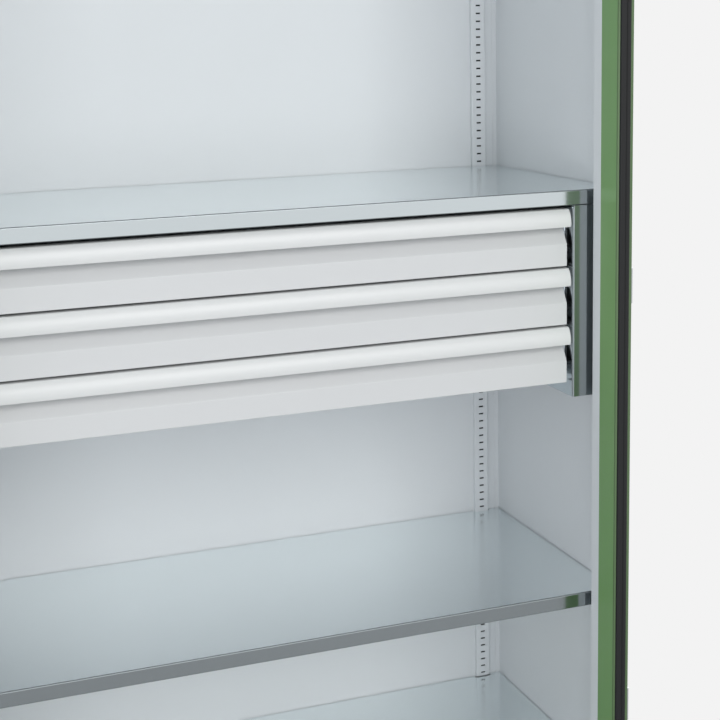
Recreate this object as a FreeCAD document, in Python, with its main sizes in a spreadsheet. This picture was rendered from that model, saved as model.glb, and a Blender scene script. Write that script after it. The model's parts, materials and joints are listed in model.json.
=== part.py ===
import FreeCAD, Part
import math
import os
import re

import Sketcher

# A free-standing steel storage cabinet with a hanging drawer unit and two folding-back doors.
# +Z is up, -Y is the open front, and the origin is the middle of the outline on the floor.
# Depths in the names are measured back from the front plane of the painted carcass.

SIZES = {
    "cabinet_width": (1200, "outside of one side wall to the outside of the other"),
    "cabinet_height": (1950, "floor to the top sheet"),
    "carcass_depth": (507, "front plane of the carcass to the back of the side walls"),
    "sheet": (1.5, "steel sheet of the carcass and the shelves"),
    "plinth_height": (100, "floor to the underside of the floor sheet"),
    "plinth_setback": (30, "front of the plinth behind the carcass front"),
    "plinth_flange": (40, "foot flange of the plinth rails"),
    "anchor_radius": (5.5, "floor bolt hole"),
    "anchor_margin": (30, "floor bolt hole to the end of its rail"),
    "post_width": (54, "folded front post, across"),
    "post_depth": (24, "folded front post, front to back"),
    "wall_return": (15, "rear edge of a side wall turned in"),
    "top_flange": (22, "edges of the top sheet turned down"),
    "frame_width": (29.5, "front frame tube, across the opening edge"),
    "frame_depth": (53, "front frame tube, front to back"),
    "frame_wall": (1.6, "front frame tube wall"),
    "frame_round": (4.2, "standing frame tube, outside of its front corners"),
    "bore_round": (2.6, "standing frame tube, inside of its front corners"),
    "rail_round": (2.2, "lying frame tube corner"),
    "seal_width": (18.8, "rubber door seal, across"),
    "seal_rise": (4, "rubber door seal, proud of the frame"),
    "seal_inset": (3, "rubber door seal, in from the opening edge"),
    "upright_width": (29, "slotted upright, face"),
    "upright_rise": (8, "slotted upright, proud of its wall"),
    "upright_gap": (26.5, "rear upright to the side wall"),
    "upright_setback": (44, "front upright behind the carcass front"),
    "upright_bottom": (128, "lower end of the slotted uprights"),
    "upright_top_gap": (30.5, "upper end of the slotted uprights below the top sheet"),
    "slot_width": (9.4, "shelf slot, across"),
    "slot_height": (3, "shelf slot, up"),
    "slot_pitch": (15, "shelf slot to shelf slot"),
    "first_slot": (135, "floor to the lowest shelf slot"),
    "lower_slot": (23, "slots below the lower shelf"),
    "upper_slot": (70, "slots below the upper shelf"),
    "shelf_setback": (35, "shelf front behind the carcass front"),
    "shelf_height": (25, "shelf edge, top to bottom"),
    "shelf_return": (15, "shelf edge turned under"),
    "shelf_round": (2, "shelf edge bend"),
    "shelf_play": (1.5, "shelf to side wall"),
    "notch_play": (2, "shelf notch to upright"),
    "clip_rise": (4, "shelf clip ledge above its slot"),
    "clip_length": (20, "shelf clip ledge"),
    "clip_play": (0.5, "shelf clip to each end of its slot"),
    "unit_inset": (84.5, "drawer unit side plate to the side wall"),
    "unit_height": (327, "drawer unit side plate, top to bottom"),
    "unit_flange": (80, "drawer unit front flange"),
    "unit_bend": (3, "drawer unit side plate to its front flange, outer bend"),
    "relief_radius": (2, "round notch at the top of that bend"),
    "unit_rear_gap": (14, "drawer unit to the back sheet"),
    "hanger_width": (40, "drawer unit hanging flange"),
    "tie_height": (40, "drawer unit rear tie, up"),
    "tie_lip": (12, "drawer unit rear tie, front to back"),
    "tie_rise": (10, "drawer unit rear tie above the foot of the unit"),
    "screw_radius": (3, "shank of a drawer unit screw"),
    "screw_play": (0.2, "drawer unit screw to its hole"),
    "screw_margin": (30, "drawer unit screw to the ends of the hanging flange"),
    "drawer_count": (3, "drawers in the unit"),
    "drawer_pitch": (100, "drawer to drawer"),
    "drawer_gap": (3, "between drawer fronts"),
    "drawer_top_gap": (6, "shelf edge to the first drawer"),
    "drawer_side_gap": (6.5, "drawer front to the side plate"),
    "grip_height": (31, "overhanging grip strip, top to bottom"),
    "grip_lean": (8, "grip strip lip ahead of its top"),
    "grip_depth": (30, "grip strip, front to back"),
    "grip_wall": (3, "grip strip wall"),
    "front_recess": (9.3, "drawer front behind the grip lip"),
    "front_slope": (29, "height of the sloping band below the grip"),
    "front_tuck": (26, "drawer front under the grip, behind the lip"),
    "front_sheet": (1.2, "drawer front sheet"),
    "tray_sheet": (1, "drawer tray sheet"),
    "tray_rear_gap": (13, "drawer tray to the rear of the unit"),
    "tray_drop": (12, "tray rim below the drawer top"),
    "tray_foot": (93, "tray floor below the drawer top"),
    "rail_space": (19.5, "side plate to tray wall"),
    "rail_sheet": (1.5, "rail sheet"),
    "rail_height": (46, "fixed rail, top to bottom"),
    "rail_step": (3, "each rail inside the last, top and bottom"),
    "rail_drop": (52, "rail centre below the drawer top"),
    "rail_front_gap": (4, "rails behind the drawer front"),
    "rail_rear_gap": (10, "rails to the rear of the unit"),
    "leaf_thickness": (22, "door leaf"),
    "leaf_sheet": (1.2, "door leaf sheet"),
    "leaf_edge": (15, "leaf pin to the leaf's hinge edge"),
    "leaf_lip": (40, "leaf rim turned in, hinge side"),
    "lock_lip": (70, "leaf rim turned in, free side"),
    "cross_lip": (25, "leaf rim turned in, top and bottom"),
    "leaf_end_gap": (3, "leaf to the top and bottom of the carcass"),
    "meeting_gap": (3, "between the closed leaves"),
    "wall_gap": (2, "folded-back leaf to the side wall"),
    "seal_gap": (0.5, "closed leaf to the seal"),
    "pin_standoff": (12.5, "leaf pin to the leaf's rim"),
    "pin_inset": (12, "leaf pin inside the side wall when closed"),
    "open_pin_depth": (79, "leaf pin behind the carcass front when open"),
    "barrel_radius": (4.5, "hinge barrel"),
    "pin_radius": (2.2, "hinge pin"),
    "pin_play": (0.06, "hinge pin to barrel, radial"),
    "arm_half": (12, "half the height of a hinge arm"),
    "hinge_half": (30, "half the height of a hinge"),
    "hinge_play": (0.5, "hinge arm to knuckle, up and down"),
    "hinge_plate": (3, "hinge plate"),
    "bracket_ahead": (8.5, "wall hinge plate ahead of its pin"),
    "bracket_behind": (33, "wall hinge plate behind its pin"),
    "plate_margin": (2, "leaf hinge plate to the edge of the leaf"),
    "plate_width": (30, "leaf hinge plate, across, clear of the seal when closed"),
    "hinge_margin": (170, "outer hinges to the ends of the leaf"),
    "rib_width": (80, "leaf stiffener, across"),
    "rib_wall": (1.2, "leaf stiffener sheet"),
    "strip_overlap": (15.5, "closing strip beyond the left leaf"),
    "strip_width": (44, "closing strip, across"),
    "strip_thickness": (2.5, "closing strip"),
    "strip_step": (0.4, "overhanging part of the closing strip off the rim"),
    "handle_inset": (45, "handle spindle to the free edge of the leaf"),
    "handle_height": (1010, "floor to the handle spindle"),
    "handle_reach": (34, "leaf to the back of the lever"),
    "lever_length": (92, "lever beyond its spindle"),
    "lever_width": (20, "lever, across"),
    "lever_thickness": (9, "lever, front to back"),
    "lever_round": (3, "lever edges"),
    "spindle_radius": (6, "handle spindle"),
    "spindle_play": (0.5, "spindle to the leaf and the rose, radial"),
    "rose_thickness": (4.2, "plate under the handle"),
    "cam_radius": (17, "cam on the spindle"),
    "cam_gap": (1, "cam to the leaf's rim"),
    "cam_thickness": (4, "cam"),
    "rod_radius": (4, "lock rod"),
    "rod_stop": (6, "drawn-in lock rod to the frame"),
    "rod_play": (0.4, "lock rod to its guides"),
}

doc = FreeCAD.newDocument("storage_cabinet")
sheet = doc.addObject("Spreadsheet::Sheet", "Sizes")
for row, (name, (number, meaning)) in enumerate(SIZES.items(), 1):
    sheet.set(f"A{row}", meaning)
    sheet.set(f"B{row}", str(number))
    sheet.setAlias(f"B{row}", name)
doc.recompute()

# Places worked out from the driving sizes, as text that the document evaluates.
HALF = "(cabinet_width / 2)"
WALL_IN = f"({HALF} - sheet)"
OPENING = f"({HALF} - post_width)"
CLOSED_PIN_DEPTH = "(pin_standoff - frame_depth - seal_rise - seal_gap)"
CLOSED_PIN_X = f"({HALF} - pin_inset)"
OPEN_PIN_X = f"({HALF} + wall_gap + leaf_thickness + pin_standoff)"
ARM_PIN_X = f"(({CLOSED_PIN_X} + {OPEN_PIN_X}) / 2)"
ARM_PIN_DEPTH = f"(({CLOSED_PIN_DEPTH} + open_pin_depth) / 2)"
LEAF_FAR = f"(open_pin_depth + {CLOSED_PIN_X} - meeting_gap / 2)"
FRONT = f"((frame_depth + seal_rise - {LEAF_FAR} - strip_overlap) / 2)"
BACK_FACE = "(carcass_depth - 2 * sheet)"
CASE_BOTTOM = "(plinth_height + sheet)"
CASE_TOP = "(cabinet_height - sheet)"
UPRIGHT_TOP = f"({CASE_TOP} - upright_top_gap)"
UNIT_X = f"({WALL_IN} - unit_inset)"
TRAY_X = f"({UNIT_X} - rail_space)"
LOWER_SHELF = "(first_slot + slot_pitch * lower_slot + clip_rise + sheet)"
UPPER_SHELF = "(first_slot + slot_pitch * upper_slot + clip_rise + sheet)"
UNIT_TOP = f"({UPPER_SHELF} - shelf_height)"
SIDES = {"left": -1, "right": 1}


def linked(text):
    """The text with every size name pointing at its cell."""
    return re.sub(r"[a-z_]+", lambda word: f"Sizes.{word[0]}" if word[0] in SIZES else word[0], text)


def depth(text):
    """The Y of a depth behind the carcass front."""
    return f"({FRONT} + ({text}))"


def deep(near, far):
    """A Y range from two depths."""
    return depth(near), depth(far)


def outward(side, near, far):
    """An X range on one side, from two distances to the middle plane."""
    return (f"({near})", f"({far})") if side > 0 else (f"-({far})", f"-({near})")


def both_ways(reach):
    """A range as far one way as the other."""
    return f"-({reach})", f"({reach})"


def around(middle, reach):
    """A range about a middle."""
    return f"(({middle}) - ({reach}))", f"(({middle}) + ({reach}))"


def over(span):
    """A range a little past both of its ends, for a tool that cuts right through."""
    return f"(({span[0]}) - 1)", f"(({span[1]}) + 1)"


# Building blocks: a block between planes, a round bar, and ways to join and cut them.


def block(name, across, along, up):
    box = doc.addObject("Part::Box", name)
    for size, place, (low, high) in zip(("Length", "Width", "Height"), "xyz", (across, along, up)):
        box.setExpression(size, linked(f"({high}) - ({low})"))
        box.setExpression(f"Placement.Base.{place}", linked(low))
    return box


TURNS = {
    "x": FreeCAD.Rotation(FreeCAD.Vector(0, 1, 0), 90),
    "y": FreeCAD.Rotation(FreeCAD.Vector(1, 0, 0), -90),
    "z": FreeCAD.Rotation(),
}


def bar(name, axis, centre, radius, span):
    """A round bar along an axis: the centre's own place on that axis is replaced by the span."""
    cylinder = doc.addObject("Part::Cylinder", name)
    cylinder.Placement.Rotation = TURNS[axis]
    low, high = span
    cylinder.setExpression("Radius", linked(radius))
    cylinder.setExpression("Height", linked(f"({high}) - ({low})"))
    for place, middle in zip("xyz", centre):
        cylinder.setExpression(f"Placement.Base.{place}", linked(low if place == axis else middle))
    return cylinder


def joined(name, pieces):
    fusion = doc.addObject("Part::MultiFuse", name)
    fusion.Shapes = pieces
    fusion.Refine = True
    return fusion


def cut(name, base, tools):
    hole = doc.addObject("Part::Cut", name)
    hole.Base = base
    hole.Tool = tools[0] if len(tools) == 1 else joined(f"{name}_tools", tools)
    hole.Refine = True
    return hole


def group(name, pieces):
    """Separate solids that share one node."""
    compound = doc.addObject("Part::Compound", name)
    compound.Links = pieces
    return compound


nodes = []


def node(label, piece):
    piece.Label = label
    nodes.append(piece)
    return piece


def origin_part(body, role):
    """A plane or an axis of a body's own origin."""
    return next(feature for feature in body.Origin.OriginFeatures if feature.Role == role)


def closed_sketch(body, name, plane, outline):
    """A closed outline on a plane of the body: each corner is a pair of size texts."""
    sketch = body.newObject("Sketcher::SketchObject", name)
    sketch.AttachmentSupport = [(origin_part(body, plane), "")]
    sketch.MapMode = "FlatFace"
    count = len(outline)
    rough = [FreeCAD.Vector(spot, spot * spot, 0) for spot in range(count)]
    for spot in range(count):
        sketch.addGeometry(Part.LineSegment(rough[spot], rough[(spot + 1) % count]), False)
    for spot in range(count):
        sketch.addConstraint(Sketcher.Constraint("Coincident", spot, 2, (spot + 1) % count, 1))
    for spot, corner in enumerate(outline):
        for kind, text in zip(("DistanceX", "DistanceY"), corner):
            number = sketch.addConstraint(Sketcher.Constraint(kind, -1, 1, spot, 1, 1.0))
            sketch.setExpression(f"Constraints[{number}]", linked(text))
    return sketch


def profile(name, plane, outline, span, rounds=()):
    """A body with one section pushed along its normal: X for YZ_Plane and Z for XY_Plane.

    Rounds are (corner, radius) pairs, where the corner is its number in the outline.
    """
    body = doc.addObject("PartDesign::Body", name)
    sketch = closed_sketch(body, f"{name}_section", plane, outline)
    low, high = span
    pad = body.newObject("PartDesign::Pad", f"{name}_pad")
    pad.Profile = sketch
    pad.setExpression("Length", linked(f"({high}) - ({low})"))
    body.setExpression("Placement.Base.x" if plane == "YZ_Plane" else "Placement.Base.z", linked(low))
    doc.recompute()
    tip = pad
    for spot, radius in rounds:
        corner = sketch.Geometry[spot].StartPoint
        fillet = body.newObject("PartDesign::Fillet", f"{name}_round_{spot}")
        fillet.Base = (tip, [edge_over(tip.Shape, corner, plane)])
        fillet.setExpression("Radius", linked(radius))
        doc.recompute()
        tip = fillet
    body.Tip = tip
    return body


def edge_over(shape, corner, plane):
    """The name of the straight edge that stands on a section corner."""
    for number, edge in enumerate(shape.Edges, 1):
        ends = [vertex.Point for vertex in edge.Vertexes]
        flat = [(p.y, p.z) if plane == "YZ_Plane" else (p.x, p.y) for p in ends]
        if len(ends) == 2 and all(math.dist(spot, (corner.x, corner.y)) < 1e-4 for spot in flat):
            return f"Edge{number}"
    raise ValueError(f"no edge over {corner}")


def rounded(name, base, radius, wanted):
    """The base with every edge for which wanted(edge) is true rounded by a size from the sheet."""
    doc.recompute()
    size = float(sheet.get(radius))
    fillet = doc.addObject("Part::Fillet", name)
    fillet.Base = base
    fillet.Edges = [(n, size, size) for n, edge in enumerate(base.Shape.Edges, 1) if wanted(edge)]
    return fillet


def runs_along(edge, axis):
    start, end = edge.Vertexes[0].Point, edge.Vertexes[-1].Point
    return abs((end - start).normalize().dot(axis)) > 0.999


# Carcass: two side walls with folded front posts, and the back, top and floor sheets.


def side_panel(name, side):
    wall = (CASE_BOTTOM, CASE_TOP)
    inner = f"({OPENING} + sheet)"
    pieces = [
        block(f"{name}_wall", outward(side, WALL_IN, HALF), deep("0", "carcass_depth"), wall),
        block(f"{name}_face", outward(side, OPENING, HALF), deep("0", "sheet"), wall),
        block(f"{name}_cheek", outward(side, OPENING, inner), deep("0", "post_depth"), wall),
        block(
            f"{name}_rear",
            outward(side, OPENING, WALL_IN),
            deep("post_depth - sheet", "post_depth"),
            wall,
        ),
        block(
            f"{name}_return",
            outward(side, f"{HALF} - wall_return", HALF),
            deep("carcass_depth - sheet", "carcass_depth"),
            wall,
        ),
    ]
    return joined(name, pieces)


for where, side in SIDES.items():
    node(f"{where}_side_panel", side_panel(f"{where}_side", side))

node(
    "back_panel",
    block(
        "back_sheet",
        both_ways(WALL_IN),
        deep(BACK_FACE, "carcass_depth - sheet"),
        (CASE_BOTTOM, CASE_TOP),
    ),
)

TOP_FLANGE = (f"{CASE_TOP} - top_flange", CASE_TOP)
node(
    "top_panel",
    joined(
        "top_sheet",
        [
            block("top_skin", both_ways(HALF), deep("0", "carcass_depth"), (CASE_TOP, "cabinet_height")),
            block("top_front", both_ways(OPENING), deep("0", "sheet"), TOP_FLANGE),
            block(
                "top_rear",
                both_ways(f"{WALL_IN} - sheet"),
                deep(f"{BACK_FACE} - sheet", BACK_FACE),
                TOP_FLANGE,
            ),
        ]
        + [
            block(
                f"top_edge_{where}",
                outward(side, f"{WALL_IN} - sheet", WALL_IN),
                deep("post_depth", BACK_FACE),
                TOP_FLANGE,
            )
            for where, side in SIDES.items()
        ],
    ),
)

node(
    "floor_panel",
    block("floor_sheet", both_ways(HALF), deep("0", "carcass_depth"), ("plinth_height", CASE_BOTTOM)),
)

# Plinth: four folded rails under the floor sheet, with bolt holes in the feet of the end rails.

PLINTH_FRONT = "plinth_setback"
PLINTH_BACK = "(carcass_depth - sheet)"
PLINTH_X = f"({HALF} - sheet)"


def plinth_rail(name, near, toward):
    """A cross rail: its web stands at the depth near, and its feet point inwards."""
    web = (near, f"{near} + sheet") if toward > 0 else (f"{near} - sheet", near)
    foot = (near, f"{near} + plinth_flange") if toward > 0 else (f"{near} - plinth_flange", near)
    width = both_ways(PLINTH_X)
    return joined(
        name,
        [
            block(f"{name}_web", width, deep(*web), ("0", "plinth_height")),
            block(f"{name}_foot", width, deep(*foot), ("0", "sheet")),
            block(f"{name}_head", width, deep(*foot), ("plinth_height - sheet", "plinth_height")),
        ],
    )


ANCHOR_X = f"({PLINTH_X} - sheet - plinth_flange / 2)"
ANCHOR_DEPTHS = {
    "near": f"({PLINTH_FRONT} + plinth_flange + anchor_margin)",
    "far": f"({PLINTH_BACK} - plinth_flange - anchor_margin)",
}


def plinth_end(name, side):
    """An end rail between the cross rails, with a foot holed for two floor bolts."""
    run = deep(f"{PLINTH_FRONT} + plinth_flange", f"{PLINTH_BACK} - plinth_flange")
    foot = outward(side, f"{PLINTH_X} - plinth_flange", PLINTH_X)
    web = outward(side, f"{PLINTH_X} - sheet", PLINTH_X)
    rail = joined(
        f"{name}_rail",
        [
            block(f"{name}_web", web, run, ("0", "plinth_height")),
            block(f"{name}_foot", foot, run, ("0", "sheet")),
            block(f"{name}_head", foot, run, ("plinth_height - sheet", "plinth_height")),
        ],
    )
    holes = [
        bar(
            f"{name}_hole_{end}",
            "z",
            (f"{side} * {ANCHOR_X}", depth(place), "0"),
            "anchor_radius",
            over(("0", "sheet")),
        )
        for end, place in ANCHOR_DEPTHS.items()
    ]
    return cut(name, rail, holes)


node(
    "plinth_rails",
    group(
        "plinth_cross_rails",
        [plinth_rail("plinth_front", PLINTH_FRONT, 1), plinth_rail("plinth_rear", PLINTH_BACK, -1)],
    ),
)
node(
    "plinth_ends",
    group("plinth_end_rails", [plinth_end(f"plinth_{where}", side) for where, side in SIDES.items()]),
)

# Front frame: square tubes welded to the carcass front, with the rubber seal on their faces.

FRAME_TOP = "(cabinet_height - frame_width)"
FRAME_BOTTOM = "(plinth_height + frame_width)"
ROD_X = f"({CLOSED_PIN_X} - ({LEAF_FAR} - handle_inset - open_pin_depth))"
ROD_DEPTH = f"({CLOSED_PIN_DEPTH} - 1)"
UP = FreeCAD.Vector(0, 0, 1)
ACROSS = FreeCAD.Vector(1, 0, 0)


def trim(span):
    return f"({span[0]}) + frame_wall", f"({span[1]}) - frame_wall"


def front_rounded(name, solid, radius, along):
    """The solid with its two front corners rounded all along."""

    def at_front(edge):
        return runs_along(edge, along) and edge.CenterOfMass.y < solid.Shape.CenterOfMass.y

    return rounded(name, solid, radius, at_front)


def frame_tube(name, across, up, along):
    """The outside and the inside of a tube, both sharp; along is the axis it runs in."""
    solid = block(f"{name}_solid", across, deep("-frame_depth", "0"), up)
    inner_x, inner_z = (over(across), trim(up)) if along == ACROSS else (trim(across), over(up))
    bore = block(f"{name}_bore", inner_x, deep("frame_wall - frame_depth", "-frame_wall"), inner_z)
    return solid, bore


for where, side in SIDES.items():
    solid, bore = frame_tube(
        f"stile_{where}",
        outward(side, OPENING, f"{OPENING} + frame_width"),
        ("plinth_height", "cabinet_height"),
        UP,
    )
    tube = front_rounded(f"stile_{where}_tube", solid, "frame_round", UP)
    hollow = front_rounded(f"stile_{where}_hollow", bore, "bore_round", UP)
    node(f"frame_stile_{where}", cut(f"stile_tube_{where}", tube, [hollow]))

for where, up in {"top": (FRAME_TOP, "cabinet_height"), "bottom": ("plinth_height", FRAME_BOTTOM)}.items():
    solid, bore = frame_tube(f"rail_{where}", both_ways(OPENING), up, ACROSS)
    tube = rounded(f"rail_{where}_tube", solid, "rail_round", lambda edge: runs_along(edge, ACROSS))
    face = around(FRAME_TOP if where == "top" else FRAME_BOTTOM, "2 * frame_wall")
    keep = block(
        f"keep_{where}",
        around(ROD_X, "2 * rod_radius"),
        deep(*around(ROD_DEPTH, "2 * rod_radius")),
        face,
    )
    node(f"frame_rail_{where}", cut(f"rail_tube_{where}", tube, [bore, keep]))

# The seal's section, as parts of its width and of its rise: a broad pad and a narrow lip.
SEAL_PAD = [(0, 0), (0.04, 0.8), (0.12, 1), (0.5, 1), (0.6, 0.62)]
SEAL_LIP = [(0.7, 1), (0.9, 1), (0.97, 0.75), (1, 0)]


def seal_outline(side, start):
    """Corners of a standing seal: X outwards from the start, Y forwards from the frame face."""
    return [
        (f"{side} * ({start} + {a} * seal_width)", depth(f"-frame_depth - {b} * seal_rise"))
        for a, b in SEAL_PAD + SEAL_LIP
    ]


def cross_seal_outline(edge, toward):
    """Corners of a lying seal: Y forwards from the frame face, Z away from the opening."""
    return [
        (depth(f"-frame_depth - {b} * seal_rise"), f"{edge} + {toward} * (seal_inset + {a} * seal_width)")
        for a, b in SEAL_PAD + SEAL_LIP
    ]


SEAL_X = f"({OPENING} + seal_inset)"
SEAL_ENDS = (
    f"{FRAME_BOTTOM} - seal_inset - seal_width",
    f"{FRAME_TOP} + seal_inset + seal_width",
)
node(
    "side_seals",
    group(
        "standing_seals",
        [
            profile(f"seal_{where}", "XY_Plane", seal_outline(side, SEAL_X), SEAL_ENDS)
            for where, side in SIDES.items()
        ],
    ),
)
node(
    "cross_seals",
    group(
        "lying_seals",
        [
            profile(f"seal_{where}", "YZ_Plane", cross_seal_outline(edge, toward), both_ways(SEAL_X))
            for where, edge, toward in (("top", FRAME_TOP, 1), ("bottom", FRAME_BOTTOM, -1))
        ],
    ),
)

# Slotted uprights: channels that face the room at the back and face each other at the front.

UPRIGHT_ENDS = ("upright_bottom", UPRIGHT_TOP)
SLOT_COUNT = f"floor(({UPRIGHT_TOP} - first_slot) / slot_pitch)"
REAR_X = f"({WALL_IN} - upright_gap - upright_width / 2)"
REAR_FACE = f"({BACK_FACE} - upright_rise)"
FRONT_SLOT_DEPTH = "(upright_setback + upright_width / 2)"


def upright(name):
    """A slotted channel standing on the origin: its face looks along -Y at the depth 0."""
    half, inner = "upright_width / 2", "upright_width / 2 - sheet"
    section = [
        (f"-{half}", "0"),
        (half, "0"),
        (half, "upright_rise"),
        (inner, "upright_rise"),
        (inner, "sheet"),
        (f"-({inner})", "sheet"),
        (f"-({inner})", "upright_rise"),
        (f"-{half}", "upright_rise"),
    ]
    body = profile(name, "XY_Plane", section, UPRIGHT_ENDS, rounds=[(0, "sheet * 0.9"), (1, "sheet * 0.9")])
    low, high = around("first_slot - upright_bottom", "slot_height / 2")
    left, right = both_ways("slot_width / 2")
    outline = [(left, low), (right, low), (right, high), (left, high)]
    sketch = closed_sketch(body, f"{name}_slot", "XZ_Plane", outline)
    doc.recompute()
    solid = body.Shape.Volume
    pocket = body.newObject("PartDesign::Pocket", f"{name}_slot_cut")
    pocket.Profile = sketch
    pocket.Type = "ThroughAll"
    pocket.Midplane = True
    doc.recompute()
    if pocket.Shape.Volume > solid - 1:
        raise ValueError(f"{name}: the slot cuts nothing")
    row = body.newObject("PartDesign::LinearPattern", f"{name}_slots")
    row.Originals = [pocket]
    row.Direction = (origin_part(body, "Z_Axis"), [""])
    row.setExpression("Occurrences", linked(SLOT_COUNT))
    row.setExpression("Length", linked(f"({SLOT_COUNT} - 1) * slot_pitch"))
    body.Tip = row
    return body


for where, side in SIDES.items():
    rear = upright(f"rear_{where}")
    rear.setExpression("Placement.Base.x", linked(f"{side} * {REAR_X}"))
    rear.setExpression("Placement.Base.y", linked(depth(REAR_FACE)))
    node(f"rear_upright_{where}", rear)
    near = upright(f"front_{where}")
    near.Placement.Rotation = FreeCAD.Rotation(FreeCAD.Vector(0, 0, 1), -90 * side)
    near.setExpression("Placement.Base.x", linked(f"{side} * ({WALL_IN} - upright_rise)"))
    near.setExpression("Placement.Base.y", linked(depth(FRONT_SLOT_DEPTH)))
    node(f"front_upright_{where}", near)

# Shelves: bright sheet pans with all four edges folded, notched round the uprights.

SHELF_X = f"({WALL_IN} - shelf_play)"
SHELF_BACK = f"({BACK_FACE} - shelf_play)"


def shelf(name, top):
    bottom = f"({top} - shelf_height)"
    front = profile(
        f"{name}_front",
        "YZ_Plane",
        [
            (depth("shelf_setback"), bottom),
            (depth("shelf_setback"), top),
            (depth(SHELF_BACK), top),
            (depth(SHELF_BACK), bottom),
            (depth(f"{SHELF_BACK} - sheet"), bottom),
            (depth(f"{SHELF_BACK} - sheet"), f"{top} - sheet"),
            (depth("shelf_setback + sheet"), f"{top} - sheet"),
            (depth("shelf_setback + sheet"), f"{bottom} + sheet"),
            (depth("shelf_setback + shelf_return"), f"{bottom} + sheet"),
            (depth("shelf_setback + shelf_return"), bottom),
        ],
        both_ways(SHELF_X),
        rounds=[(0, "shelf_round * 0.7"), (1, "shelf_round")],
    )
    ends = [
        block(
            f"{name}_end_{where}",
            outward(side, f"{SHELF_X} - sheet", SHELF_X),
            deep("shelf_setback + shelf_round", f"{SHELF_BACK} - sheet"),
            (bottom, f"{top} - sheet"),
        )
        for where, side in SIDES.items()
    ]
    notches = []
    for where, side in SIDES.items():
        rear = around(REAR_X, "upright_width / 2 + notch_play")
        notches.append(
            block(
                f"{name}_rear_notch_{where}",
                outward(side, *rear),
                deep(f"{REAR_FACE} - notch_play", "carcass_depth"),
                over((bottom, top)),
            )
        )
        notches.append(
            block(
                f"{name}_front_notch_{where}",
                outward(side, f"{WALL_IN} - upright_rise - notch_play", HALF),
                deep(*around(FRONT_SLOT_DEPTH, "upright_width / 2 + notch_play")),
                over((bottom, top)),
            )
        )
    return cut(name, joined(f"{name}_pan", [front, *ends]), notches)


CLIP_HALF = "(slot_width / 2 - clip_play)"
FLOOR_SHELF = f"({CASE_BOTTOM} + shelf_height)"
SHELVES = {"upper_shelf": UPPER_SHELF, "lower_shelf": LOWER_SHELF, "floor_shelf": FLOOR_SHELF}
for name, top in SHELVES.items():
    node(name, shelf(f"{name}_sheet", top))


def rear_clip(name, side, slot):
    """A hook in a rear slot with a ledge that runs forward under the shelf sheet."""
    across = around(f"{side} * {REAR_X}", CLIP_HALF)
    ledge = (f"{slot} - slot_height", f"{slot} + clip_rise")
    hook = around(slot, "slot_height * 0.45")
    face = f"({REAR_FACE})"
    return joined(
        name,
        [
            block(f"{name}_ledge", across, deep(f"{face} - clip_length", face), ledge),
            block(f"{name}_hook", across, deep(face, f"{face} + 3 * sheet"), hook),
        ],
    )


def front_clip(name, side, slot):
    """A hook in a front slot with a ledge that runs towards the middle under the shelf sheet."""
    face = f"({WALL_IN} - upright_rise)"
    along = deep(*around(FRONT_SLOT_DEPTH, CLIP_HALF))
    return joined(
        name,
        [
            block(
                f"{name}_ledge",
                outward(side, f"{face} - clip_length", face),
                along,
                (f"{slot} - slot_height", f"{slot} + clip_rise"),
            ),
            block(
                f"{name}_hook",
                outward(side, face, f"{face} + 3 * sheet"),
                along,
                around(slot, "slot_height * 0.45"),
            ),
        ],
    )


clips = []
for level in ("lower", "upper"):
    slot = f"(first_slot + slot_pitch * {level}_slot)"
    for where, side in SIDES.items():
        clips.append(rear_clip(f"{level}_rear_clip_{where}", side, slot))
        clips.append(front_clip(f"{level}_front_clip_{where}", side, slot))
node("shelf_clips", group("clips", clips))

# Drawer unit: two side plates hung under the upper shelf, tied together at the back.

UNIT_FRONT = "shelf_setback"
UNIT_BACK = f"({BACK_FACE} - unit_rear_gap)"
UNIT_BOTTOM = f"({UNIT_TOP} - unit_height)"
LINE_GAP = "(sheet * 0.6)"
HANG_PLACES = (
    f"{UNIT_FRONT} + screw_margin",
    f"({UNIT_FRONT} + {UNIT_BACK}) / 2",
    f"{UNIT_BACK} - screw_margin",
)


def hang_point(side, place):
    return f"{side} * ({UNIT_X} + hanger_width * 0.6)", depth(place), "0"


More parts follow.
